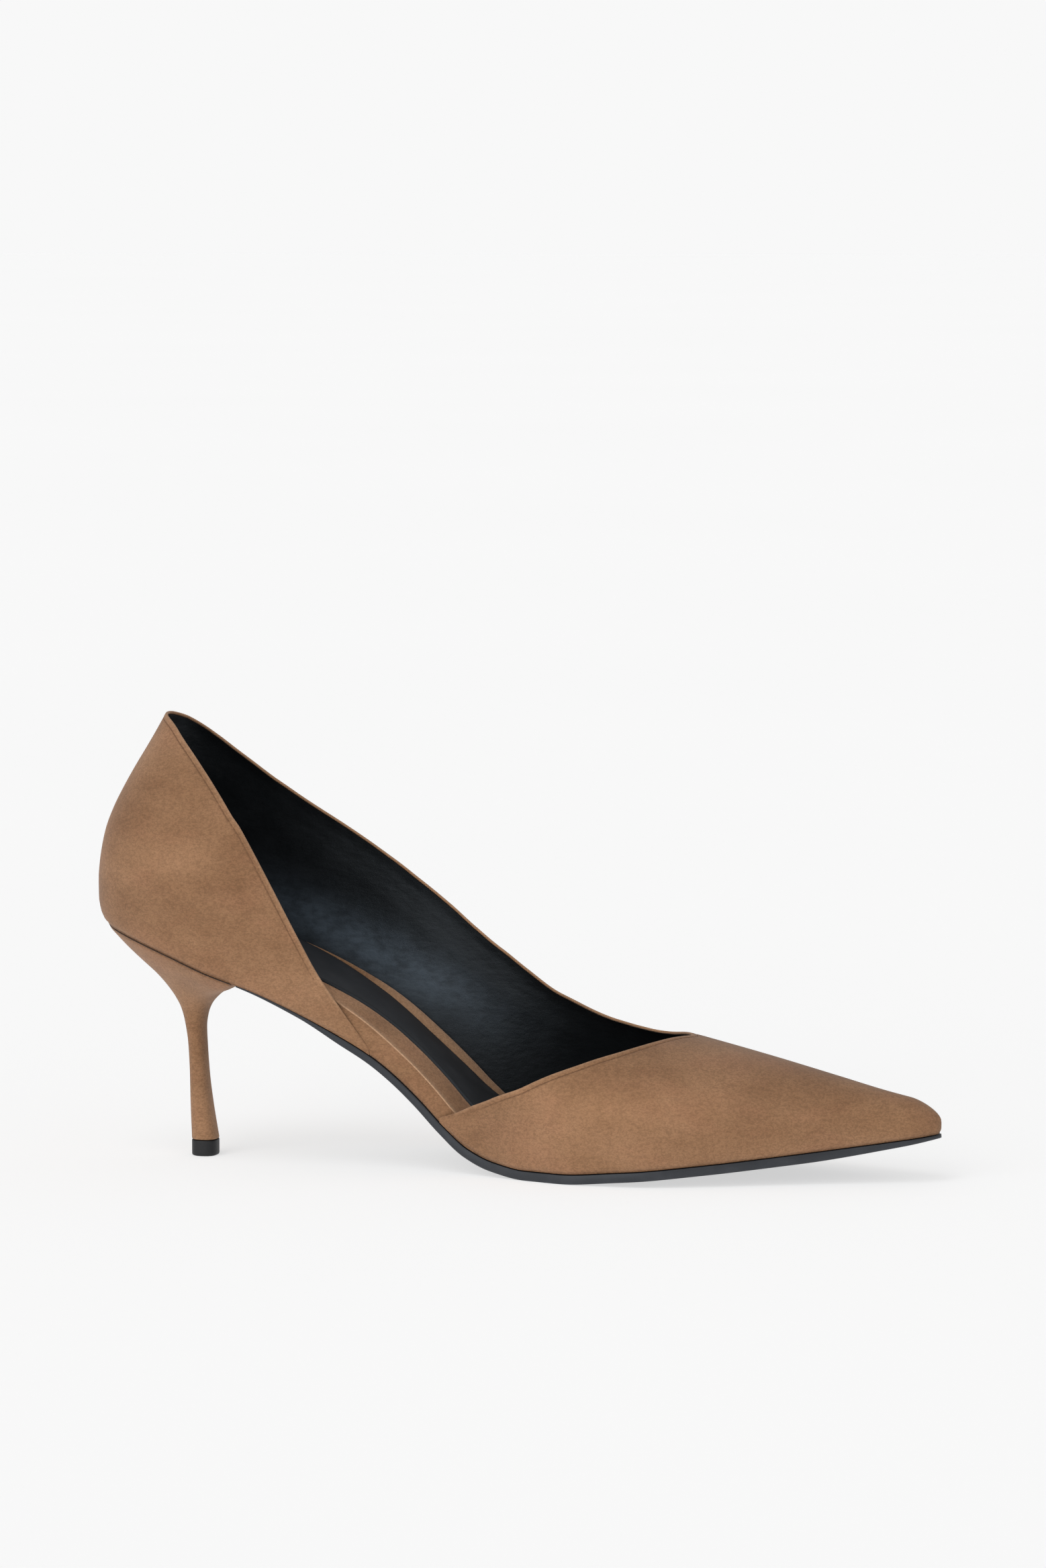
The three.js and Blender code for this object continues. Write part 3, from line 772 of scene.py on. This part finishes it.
def leather_finish(name, tone, roughness, grain=0.5, wrinkles=0.0):
    """Smooth leather: the marks say where painted shade darkens an edge and where a painted sheen
    lies.
    """
    finish = Finish(name, Specular_IOR_Level=0.5, Specular_Tint=(0.8, 0.9, 1, 1))
    pores = finish.noise(grain * MM, detail=3, roughness=0.6)
    cloud = finish.noise(9 * MM, detail=4, roughness=0.6)
    dusty = (*(1.5 * part for part in tone[:3]), 1)
    dust_and_sheen = finish.blend(finish.ramp(cloud, 0.4, 0.75), tone, dusty)
    height = pores * 0.35
    if wrinkles:
        fold = finish.noise(2.2 * MM, detail=3, roughness=0.5, where=finish.place(x=0.7, z=1.2))
        height = height + fold * wrinkles
        # Painted sheen: a bluish-grey reflection painted in patches low on the outer side.
        sheen_patches = finish.ramp(cloud * 0.6 + fold * 0.4, 0.34, 0.62) * 0.55 + 0.45
        dust_and_sheen = finish.blend(finish.mark("bloom") * sheen_patches, dust_and_sheen, PAINTED_SHEEN_COLOUR)
    # Painted shade darkens the marked edges to near black.
    finish.surface(
        Base_Color=finish.blend(finish.mark("seam"), dust_and_sheen, SHADE_BLACK),
        Roughness=cloud * 0.16 + (roughness - 0.08),
        Normal=finish.bump(height, 0.12 * MM, strength=0.6),
    )
    return finish


def add_lining():
    """The leather from the suede's back inward, with the tape's ridge and the painted sheen's
    place.
    """
    tape = TAPE_RISE * bell(from_edge, TAPE_LINE, TAPE_WIDTH)
    outside = last + inward * (SUEDE_THICKNESS * skive + GLUE_LINE)[..., None]
    inside = last + inward * (UPPER_WALL * skive + tape)[..., None]
    for face in (outside, inside):
        face[rib_open, :FOLD_ROW + 1] = face[rib_open, FOLD_ROW + 1][:, None]
        face[:, -1, 2] = foot_height(face[:, -1, 0])
    points, faces = shell(outside, inside, np.zeros((len(ribs), 0, 3)))
    # Where the painted sheen lies: a band at a height that changes along the shoe, outer side only.
    height = last[..., 2] - foot_height(last[..., 0])
    middle = along(PAINTED_SHEEN, "height", rib_at)[:, None] * MM
    bloom = bell(height, middle, PAINTED_SHEEN_WIDTH) * along(PAINTED_SHEEN, "strength", rib_at)[:, None]
    bloom *= last[..., 1] > swing(last[..., 0])
    finish = leather_finish("black_lining", LINING_BLACK, 0.42, wrinkles=1.6)
    bloom = np.concatenate([0 * bloom, bloom[:, ::-1]], axis=1)
    return add_piece("upper_lining", points, faces, finish, sharp=50, bloom=bloom)


lining = add_lining()
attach(lining, "root")
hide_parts("upper")

# The stitches. One row of brown thread round the topline holds the fold. Each stitch is a short
# arched length of thread whose ends dive into the groove.
STITCH_PITCH = 1.6 * MM
STITCH_LENGTH = 1.15 * MM
THREAD = 0.3 * MM
THREAD_SUNK = 0.13 * MM
THREAD_DARK = colour(104, 74, 52)
THREAD_LIGHT = colour(134, 99, 72)
STITCHED_ABOVE = 14 * MM


def stitch_path():
    """Points on the suede along the stitch line, and the way out of the surface at each."""
    start = last[edge, 0] - outward[edge] * STITCH_LINE
    grid = last.reshape(-1, 3)
    ways = inward.reshape(-1, 3)
    nearest = np.array([np.argmin(((grid - point) ** 2).sum(axis=1)) for point in start])
    off = ((start - grid[nearest]) * ways[nearest]).sum(axis=1, keepdims=True)
    on_surface = start - off * ways[nearest]
    keep = rib_tall[edge, 0] > STITCHED_ABOVE
    into_shoe = ways[nearest][keep]
    return on_surface[keep] + THREAD_SUNK * into_shoe, -into_shoe


def stitch_tree(finish):
    """Node tree that lays arched stitches along a line of points."""
    tree = bpy.data.node_groups.new("row_of_stitches", "GeometryNodeTree")
    tree.is_modifier = True
    sizes = {"Pitch": STITCH_PITCH, "Stitch length": STITCH_LENGTH, "Thread": THREAD}
    tree.interface.new_socket("Line", in_out="INPUT", socket_type="NodeSocketGeometry")
    for name in sizes:
        tree.interface.new_socket(name, in_out="INPUT", socket_type="NodeSocketFloat")
    tree.interface.new_socket("Stitches", in_out="OUTPUT", socket_type="NodeSocketGeometry")
    given = tree.nodes.new("NodeGroupInput")
    result = tree.nodes.new("NodeGroupOutput")

    def node(kind, settings, sockets):
        made = tree.nodes.new(kind)
        for key, value in settings.items():
            setattr(made, key, value)
        for key, value in sockets.items():
            if hasattr(value, "is_output"):
                tree.links.new(value, made.inputs[key])
            else:
                made.inputs[key].default_value = value
        return made

    def scaled(value, factor):
        return node("ShaderNodeMath", {"operation": "MULTIPLY"}, {0: value, 1: factor}).outputs[0]

    def spot(x, z):
        return node("ShaderNodeCombineXYZ", {}, {"X": x, "Z": z}).outputs[0]

    length, thread = given.outputs["Stitch length"], given.outputs["Thread"]
    arch = node("GeometryNodeCurveQuadraticBezier", {}, {
        "Resolution": 6,
        "Start": spot(scaled(length, -0.5), scaled(thread, -0.5)),
        "Middle": spot(0.0, scaled(thread, 0.6)),
        "End": spot(scaled(length, 0.5), scaled(thread, -0.5)),
    })
    round_thread = node("GeometryNodeCurvePrimitiveCircle", {}, {
        "Resolution": 6, "Radius": scaled(thread, 0.5),
    })
    stitch = node("GeometryNodeCurveToMesh", {}, {
        "Curve": arch.outputs[0], "Profile Curve": round_thread.outputs[0], "Fill Caps": True,
    })
    line = node("GeometryNodeMeshToCurve", {}, {"Mesh": given.outputs["Line"]})
    spaced = node("GeometryNodeResampleCurve", {"mode": "LENGTH"}, {
        "Curve": line.outputs[0], "Length": given.outputs["Pitch"],
    })
    way_out = node("GeometryNodeInputNamedAttribute", {"data_type": "FLOAT_VECTOR"}, {
        "Name": "way_out",
    })
    ahead = node("GeometryNodeInputTangent", {}, {})
    upright = node("FunctionNodeAlignRotationToVector", {"axis": "Z"}, {
        "Vector": way_out.outputs["Attribute"],
    })
    turned = node("FunctionNodeAlignRotationToVector", {"axis": "X", "pivot_axis": "Z"}, {
        "Rotation": upright.outputs[0], "Vector": ahead.outputs[0],
    })
    placed = node("GeometryNodeInstanceOnPoints", {}, {
        "Points": spaced.outputs[0], "Instance": stitch.outputs[0], "Rotation": turned.outputs[0],
    })
    solid = node("GeometryNodeRealizeInstances", {}, {"Geometry": placed.outputs[0]})
    done = node("GeometryNodeSetMaterial", {}, {
        "Geometry": solid.outputs[0], "Material": finish.material,
    })
    tree.links.new(done.outputs[0], result.inputs[0])
    return tree, sizes


def thread_finish():
    finish = Finish("brown_thread", Specular_IOR_Level=0.3)
    twist = finish.noise(0.25 * MM, detail=2)
    finish.surface(
        Base_Color=finish.blend(twist, THREAD_DARK, THREAD_LIGHT),
        Roughness=0.9 - twist * 0.2,
    )
    return finish


def add_stitches():
    path, ways = stitch_path()
    mesh = bpy.data.meshes.new("stitch_line")
    links = [(i, i + 1) for i in range(len(path) - 1)]
    mesh.from_pydata((path - ORIGIN).tolist(), links, [])
    layer = mesh.attributes.new("way_out", "FLOAT_VECTOR", "POINT")
    layer.data.foreach_set("vector", ways.astype(np.float32).ravel())
    line = bpy.data.objects.new("stitch_line", mesh)
    scene.collection.objects.link(line)
    tree, sizes = stitch_tree(thread_finish())
    modifier = line.modifiers.new("row_of_stitches", "NODES")
    modifier.node_group = tree
    for item in tree.interface.items_tree:
        if item.name in sizes:
            modifier[item.identifier] = sizes[item.name]
    shaped = line.evaluated_get(bpy.context.evaluated_depsgraph_get())
    made = bpy.data.meshes.new_from_object(shaped)
    bpy.data.objects.remove(line)
    made.name = "topline_stitches"
    made.shade_smooth()
    piece = bpy.data.objects.new("topline_stitches", made)
    scene.collection.objects.link(piece)
    return piece


stitches = add_stitches()
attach(stitches, "root")

# The insole. A stiff board wrapped in the same suede, just clear of the lining. At the open waist
# its wrap shows as the shoe's side: an upright band, a crisp crease, and a bevel up to the sock.
INSOLE_THICKNESS = 8.6 * MM
RIM_WIDTH = 5 * MM
RIM_DROP = 3.2 * MM
LINING_GAP = 0.06 * MM
INSOLE_INSET = UPPER_WALL + LINING_GAP
INSOLE_END = 0.972
WRAP_INSET = 0.45 * MM
CREASE_BEAD = 0.42 * MM
INSOLE = {
    "at": (0, 0.15, 0.25, 0.3, 0.36, 0.42, 0.47, 0.54, 0.66, 0.85, 1),
    "thick": (1, 1.2, 1.3, 1.28, 1.12, 1.02, 0.92, 0.62, 0.45, 0.36, 0.3),
    "rim": (0.3, 0.35, 0.5, 0.8, 1, 1, 0.9, 0.6, 0.35, 0.25, 0.2),
    "margin": (0.2, 0.2, 0.3, 0.65, 1.05, 0.95, 0.5, 0.25, 0.2, 0.2, 0.2),
}
BARE_WAIST = {
    "at": (0.205, 0.232, 0.256, 0.28, 0.302, 0.418, 0.45),
    "wrap": (0, 0.4, 0.66, 0.72, 1, 1, 0),
    "bare": (0, 0, 0, 0.2, 1, 1, 0),
}
CUP = {
    "at": (0, 0.16, 0.24, 0.31, 0.37, 0.42, 0.46, 0.52, 0.62, 1),
    "deep": (0, 0.1, 0.5, 0.9, 1, 0.78, 0.45, 0.2, 0.05, 0),
}
CUP_DEPTH = 2.4 * MM


def edge_inset(at, side, inset):
    """A point of the sole's edge moved inward by a distance, seen from above."""
    ahead = last_point(np.clip(at + STEP_ALONG, 0, 1), side, 0)
    behind = last_point(np.clip(at - STEP_ALONG, 0, 1), side, 0)
    run = unit((ahead - behind) * (1, 1, 0))
    out = np.array((-run[1], run[0], 0)) * SIGN[side]
    if at == 0:
        out = np.array((-1, 0, 0))
    return last_point(at, side, 0) - out * inset


def lifted(point, lift, base=foot_height):
    """A point on the sole's curve, lifted square to it."""
    step = 0.5 * MM
    x = point[0]
    slope = (base(x + step) - base(x - step)) / (2 * step)
    size = math.hypot(1, slope)
    return np.array((x - slope / size * lift, point[1], base(x) + lift / size))


def loft(rings):
    """Points and quads of a skin through closed rings of equal count, capped in strips."""
    count = len(rings[0])
    faces = []
    for i in range(len(rings) - 1):
        faces += strip(i * count, count, count)
    for start in (0, (len(rings) - 1) * count):
        for j in range(count // 2):
            a, b = start + j, start + j + 1
            c, d = start + (count - 1 - j) % count, start + (count - j) % count
            faces.append((a, b, c, d))
    return np.array(rings).reshape(-1, 3), faces


def between(first, last_one, count):
    """Points evenly spaced between two, both left out."""
    shares = np.linspace(0, 1, count + 2)[1:-1, None]
    return list(first + (last_one - first) * shares)


BED_SHARES = (0.1, 0.3, 0.5, 0.7, 0.88, 1, 1.1, 1.3, 1.5, 1.7, 1.9, 2)


class Bed:
    """The bed the foot rests on, at one place along the shoe.

    It is cupped: it sinks toward the sock's outer edge, where the share is 1, and rises beyond
    it to the lining, where the share is 2.
    """

    def __init__(self, at):
        rim = RIM_WIDTH * along(INSOLE, "rim", at)
        margin = RIM_WIDTH * along(INSOLE, "margin", at)
        self.thick = INSOLE_THICKNESS * along(INSOLE, "thick", at)
        self.deep = CUP_DEPTH * along(CUP, "deep", at)
        self.start = edge_inset(at, "inner", INSOLE_INSET + rim)
        self.middle = edge_inset(at, "outer", INSOLE_INSET + margin)
        self.end = edge_inset(at, "outer", INSOLE_INSET + 0.5 * MM)

    def point(self, share, lift):
        """A point by its share of the way from the inner rim, lifted off the bed."""
        toward_sock = (self.middle - self.start) * min(share, 1)
        beyond_sock = (self.end - self.middle) * max(share - 1, 0)
        sunk = eased(share) if share < 1 else 1 - eased((share - 1) / 0.9)
        return lifted(self.start + toward_sock + beyond_sock, self.thick - self.deep * sunk + lift)


def add_insole():
    """Rings round the board. The near side's rows give inset, lift, painted highlight and painted
    shade.
    """
    rings, pale, seam = [], [], []
    for at in places(0, INSOLE_END, fan_steps=30, middle_steps=120, nose_steps=8):
        thick = INSOLE_THICKNESS * along(INSOLE, "thick", at)
        rim = RIM_WIDTH * along(INSOLE, "rim", at)
        crease = thick - RIM_DROP * along(INSOLE, "rim", at)
        bare = along(BARE_WAIST, "bare", at)
        wrap = INSOLE_INSET - (INSOLE_INSET - WRAP_INSET) * along(BARE_WAIST, "wrap", at)
        bead = CREASE_BEAD * bare
        top = INSOLE_INSET + rim

        def inner(inset, lift):
            return lifted(edge_inset(at, "inner", inset), lift)

        def outer(inset, lift):
            return lifted(edge_inset(at, "outer", INSOLE_INSET + inset), lift)

        # Each row of the profile: inset, lift, painted highlight and painted shade.
        rise = crease - 0.6 * MM
        profile = [(wrap + 0.3 * MM * bare, 0.0, 0, 0.7)]
        profile += [(wrap + 0.05 * MM, 0.3 * MM, 0, 0.2)]
        profile += [(wrap - 0.15 * MM * bare * math.sin(math.pi * s), rise * s, 0, 0)
                    for s in (0.25, 0.5, 0.75)]
        profile += [(wrap, rise, 0, 0.15), (wrap - 0.1 * bead, crease - 0.35 * MM, 0.1, 0.35)]
        profile += [(wrap - bead, crease - 0.12 * MM, 0.9, 0)]
        profile += [(wrap - bead, crease + 0.1 * MM, 1, 0)]
        profile += [(wrap + 0.12 * MM, crease + 0.3 * MM, 0.3, 0.15)]
        for s in (0.2, 0.4, 0.6, 0.8, 0.9):
            puff = 0.25 * MM * math.sin(math.pi * s) * bare
            profile.append((wrap + (top - wrap) * s, crease + (thick - crease) * s + puff, 0, 0))
        profile += [(top - 0.2 * MM, thick + 0.02 * MM, 0.35, 0), (top + 0.3 * MM, thick, 0.1, 0.5)]
        near = [inner(inset, lift) for inset, lift, _, _ in profile]
        far = [outer(0.15 * MM, thick - 0.12 * MM), outer(0, thick - 0.5 * MM), outer(0, 0)]
        bed = Bed(at)
        over_bed = [bed.point(share, 0) for share in BED_SHARES]
        ground = between(far[-1], near[0], 6)
        rings.append(near + over_bed + far + ground)
        plain = [0] * (len(far) + len(ground))
        # Painted shade beside the sock's edge, and painted light on the bank beyond the sock, which
        # lies in shade.
        shade_beside_sock = [0.5 * bare * (share == 1) for share in BED_SHARES]
        painted_light_on_bank = [0.45 * bare * (share > 1) for share in BED_SHARES]
        pale.append([bare * mark for _, _, mark, _ in profile] + painted_light_on_bank + plain)
        seam.append([0.5 * bare * mark for _, _, _, mark in profile] + shade_beside_sock + plain)
    points, faces = loft(rings)
    finish = suede_finish("insole_suede")
    return add_piece("insole_wrap", points, faces, finish, sharp=60, pale=pale, seam=seam)


insole = add_insole()
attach(insole, "root")
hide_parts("insole")

# The sock. A thin sheet of dark leather glued on the insole, cut short of its outer side, so a
# band of the suede shows along the arch.
SOCK_LOW = 0.1 * MM
SOCK_THICKNESS = 0.85 * MM
SOCK_BODY = (0.12, 0.25, 0.4, 0.55, 0.7, 0.82, 0.91)
SOCK_BLACK = colour(44, 44, 46)


def add_sock():
    rings, seam = [], []
    for at in places(0, INSOLE_END - 0.004, fan_steps=30, middle_steps=120, nose_steps=6):
        bed = Bed(at)
        wide = np.linalg.norm(bed.middle - bed.start)
        share = MM * min(1, wide / (6 * MM)) / max(wide, 0.1 * MM)
        top = SOCK_LOW + SOCK_THICKNESS
        steps = [(0, SOCK_LOW), (0, top - 0.35 * MM), (0.12, top - 0.1 * MM), (0.35, top)]
        steps += [(0.8, top), (1.5, top), (2.4, top)]
        near = [bed.point(inset * share, lift) for inset, lift in steps]
        far = [bed.point(1 - inset * share, lift) for inset, lift in reversed(steps)]
        over = [bed.point(place, top) for place in SOCK_BODY]
        under = [bed.point(place, SOCK_LOW) for place in reversed(SOCK_BODY)]
        rings.append(near + over + far + under)
        edge_shade = [0.9, 0.8, 0.75, 0.6, 0.35, 0.1, 0]
        rest = [0] * len(SOCK_BODY)
        seam.append(edge_shade + rest + edge_shade[::-1] + rest)
    points, faces = loft(rings)
    finish = leather_finish("sock_leather", SOCK_BLACK, 0.6, grain=0.7)
    return add_piece("sock_leather", points, faces, finish, sharp=60, seam=seam)


sock = add_sock()
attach(sock, "root")
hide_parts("sock")

# The outsole. Black leather cut to the shoe's outline from the heel's breast to the toe, thin at
# the waist, with its edge inked and burnished.
TREAD = {
    "at": (0.19, 0.26, 0.32, 0.42, 0.5, 0.575, 0.85, 0.95, 1),
    "thick": (0.3, 0.42, 0.78, 0.85, 1, 1, 1, 0.65, 0.35),
    "tuck": (0.6, 0.25, 0, 0, 0, 0, 0, 0, 0),
}
BREAST = 46 * MM
REAR_END = BREAST + CLEARANCE
SOLE_BLACK = colour(44, 44, 47)


def add_outsole():
    rings = []
    for at in places(REAR_END / LENGTH, 1):
        tuck = RIM_WIDTH * along(TREAD, "tuck", at)
        thick = OUTSOLE_THICKNESS * along(TREAD, "thick", at)
        half = np.ptp([last_point(at, side, 0)[1] for side in SIGN]) / 2
        corner = min(1, half / (3 * MM), thick / (1.2 * MM))

        def point(side, inset, lift):
            foot = last_point(at, side, 0)
            foot[0] = max(foot[0], REAR_END)
            foot[1] -= SIGN[side] * (tuck + inset * corner)
            moved = lifted(foot, lift, tread_height)
            moved[0] = max(moved[0], REAR_END)
            return moved

        steps = [(0.12 * MM, 0), (0, -0.15 * MM * corner), (-0.05 * MM, -thick / 2)]
        steps += [(0.05 * MM, -thick + 0.45 * MM * corner), (0.2 * MM, -thick + 0.15 * MM * corner)]
        steps += [(0.55 * MM, -thick)]
        near = [point("inner", inset, lift) for inset, lift in steps]
        far = [point("outer", inset, lift) for inset, lift in reversed(steps)]
        rings.append(near + between(near[-1], far[0], 10) + far + between(far[-1], near[0], 10))
    points, faces = loft(rings)
    finish = leather_finish("sole_leather", SOLE_BLACK, 0.5, grain=0.4)
    return add_piece("sole_leather", points, faces, finish, sharp=50)


outsole = add_outsole()
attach(outsole, "root")
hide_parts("outsole")

# The heel. A slim moulded heel covered in the suede, with a flat breast toward the toe. Its seat
# follows the sole's curve and closes on the upper with a narrow sunk joint.
HEEL_SETBACK = 31.7 * MM
STEM_DEPTH = 8 * MM
STEM_WIDTH = 9 * MM
TIP_HEIGHT = 4.7 * MM
HEEL = {
    "level": (0, 0.2, 0.35, 0.5, 0.62, 0.69, 0.745, 0.8, 0.845, 0.885, 0.93, 1),
    "back": (-0.5, -0.55, -0.57, -0.62, -0.74, -0.88, -1.1, -1.45, -1.85, -2.35, -2.9, -3.64),
    "front": (0.27, 0.15, 0.08, 0.04, 0.02, 0.05, 0.11, 0.23, 0.37, 0.55, 0.77, 1),
    "half": (0.51, 0.47, 0.45, 0.45, 0.5, 0.6, 0.8, 1.1, 1.43, 1.76, 2.15, 2.62),
    "belly": (0.5, 0.5, 0.5, 0.5, 0.5, 0.52, 0.56, 0.64, 0.74, 0.82, 0.9, 0.97),
    "power": (2.6, 2.5, 2.4, 2.3, 2.3, 2.4, 2.6, 3, 3.6, 4.4, 5.5, 7),
}
HEEL_AROUND = 96
HEEL_LEVELS = np.concatenate([
    (0, 0.002, 0.006), np.linspace(0.015, 0.97, 80), (0.978, 0.985, 0.991, 0.996, 1),
])
JOINT_SUNK = 0.45 * MM
JOINT_WIDTH = 0.5 * MM
LOW_EDGE_ROUND = 0.12 * MM


def heel_ring(level, shrink):
    """Plan of the heel at a level: superellipse halves behind and ahead of its widest place."""
    value = {column: along(HEEL, column, level, "level") for column in HEEL}
    back = HEEL_SETBACK + STEM_DEPTH * value["back"] + shrink
    front = HEEL_SETBACK + (BREAST - HEEL_SETBACK) * value["front"] - shrink
    half = STEM_WIDTH * value["half"] - shrink
    widest = back + (front - back) * value["belly"]
    angle = np.arange(HEEL_AROUND) / HEEL_AROUND * 2 * math.pi
    c, s = np.cos(angle), np.sin(angle)
    exponent = np.where(c > 0, 2 / value["power"], 2 / FAN_POWER)
    reach = np.abs(c) ** exponent * np.where(c > 0, front - widest, back - widest)
    return widest + reach, half * np.sign(s) * np.abs(s) ** exponent


def add_heel():
    foot = TIP_HEIGHT + CLEARANCE
    rings, seam = [], []
    for level in HEEL_LEVELS:
        below_seat = (1 - level) * (SEAT_HEIGHT - foot)
        above_tip = level * (SEAT_HEIGHT - foot)
        joint = bell(below_seat, 0, JOINT_WIDTH)
        x, y = heel_ring(level, JOINT_SUNK * joint + LOW_EDGE_ROUND * bell(above_tip, 0, 0.15 * MM))
        rings.append(np.stack([x, y, foot + (tread_height(x) - foot) * level], -1))
        # Painted shade in the sunk joint under the seat.
        seam.append([0.6 * joint] * HEEL_AROUND)
    points, faces = loft(rings)
    finish = suede_finish("heel_suede")
    return add_piece("heel_cover", points, faces, finish, sharp=60, seam=seam)


heel = add_heel()
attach(heel, "root")
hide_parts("heel")

# The top piece. A small block of hard black rubber pinned under the heel, its edges trimmed.
TIP_BEVEL = 0.5 * MM
RUBBER_DARK = colour(20, 21, 23)
RUBBER_LIGHT = colour(30, 31, 34)


def rubber_finish():
    finish = Finish("black_rubber", Specular_IOR_Level=0.4)
    grain = finish.noise(0.5 * MM, detail=3)
    finish.surface(
        Base_Color=finish.blend(grain, RUBBER_DARK, RUBBER_LIGHT),
        Roughness=grain * 0.2 + 0.45,
        Normal=finish.bump(grain, 0.05 * MM),
    )
    return finish


def add_heel_tip():
    rows = [(TIP_BEVEL, 0), (0.15 * MM, 0.15 * MM), (0, TIP_BEVEL)]
    rows += [(0, z) for z in np.linspace(TIP_BEVEL, TIP_HEIGHT - 0.2 * MM, 8)[1:]]
    rows += [(0.04 * MM, TIP_HEIGHT - 0.05 * MM), (0.2 * MM, TIP_HEIGHT)]
    rings = []
    for shrink, z in rows:
        x, y = heel_ring(0, shrink)
        rings.append(np.stack([x, y, np.full(HEEL_AROUND, z)], -1))
    points, faces = loft(rings)
    return add_piece("top_piece", points, faces, rubber_finish(), sharp=60)


heel_tip = add_heel_tip()
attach(heel_tip, "root")
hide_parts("heel_tip")
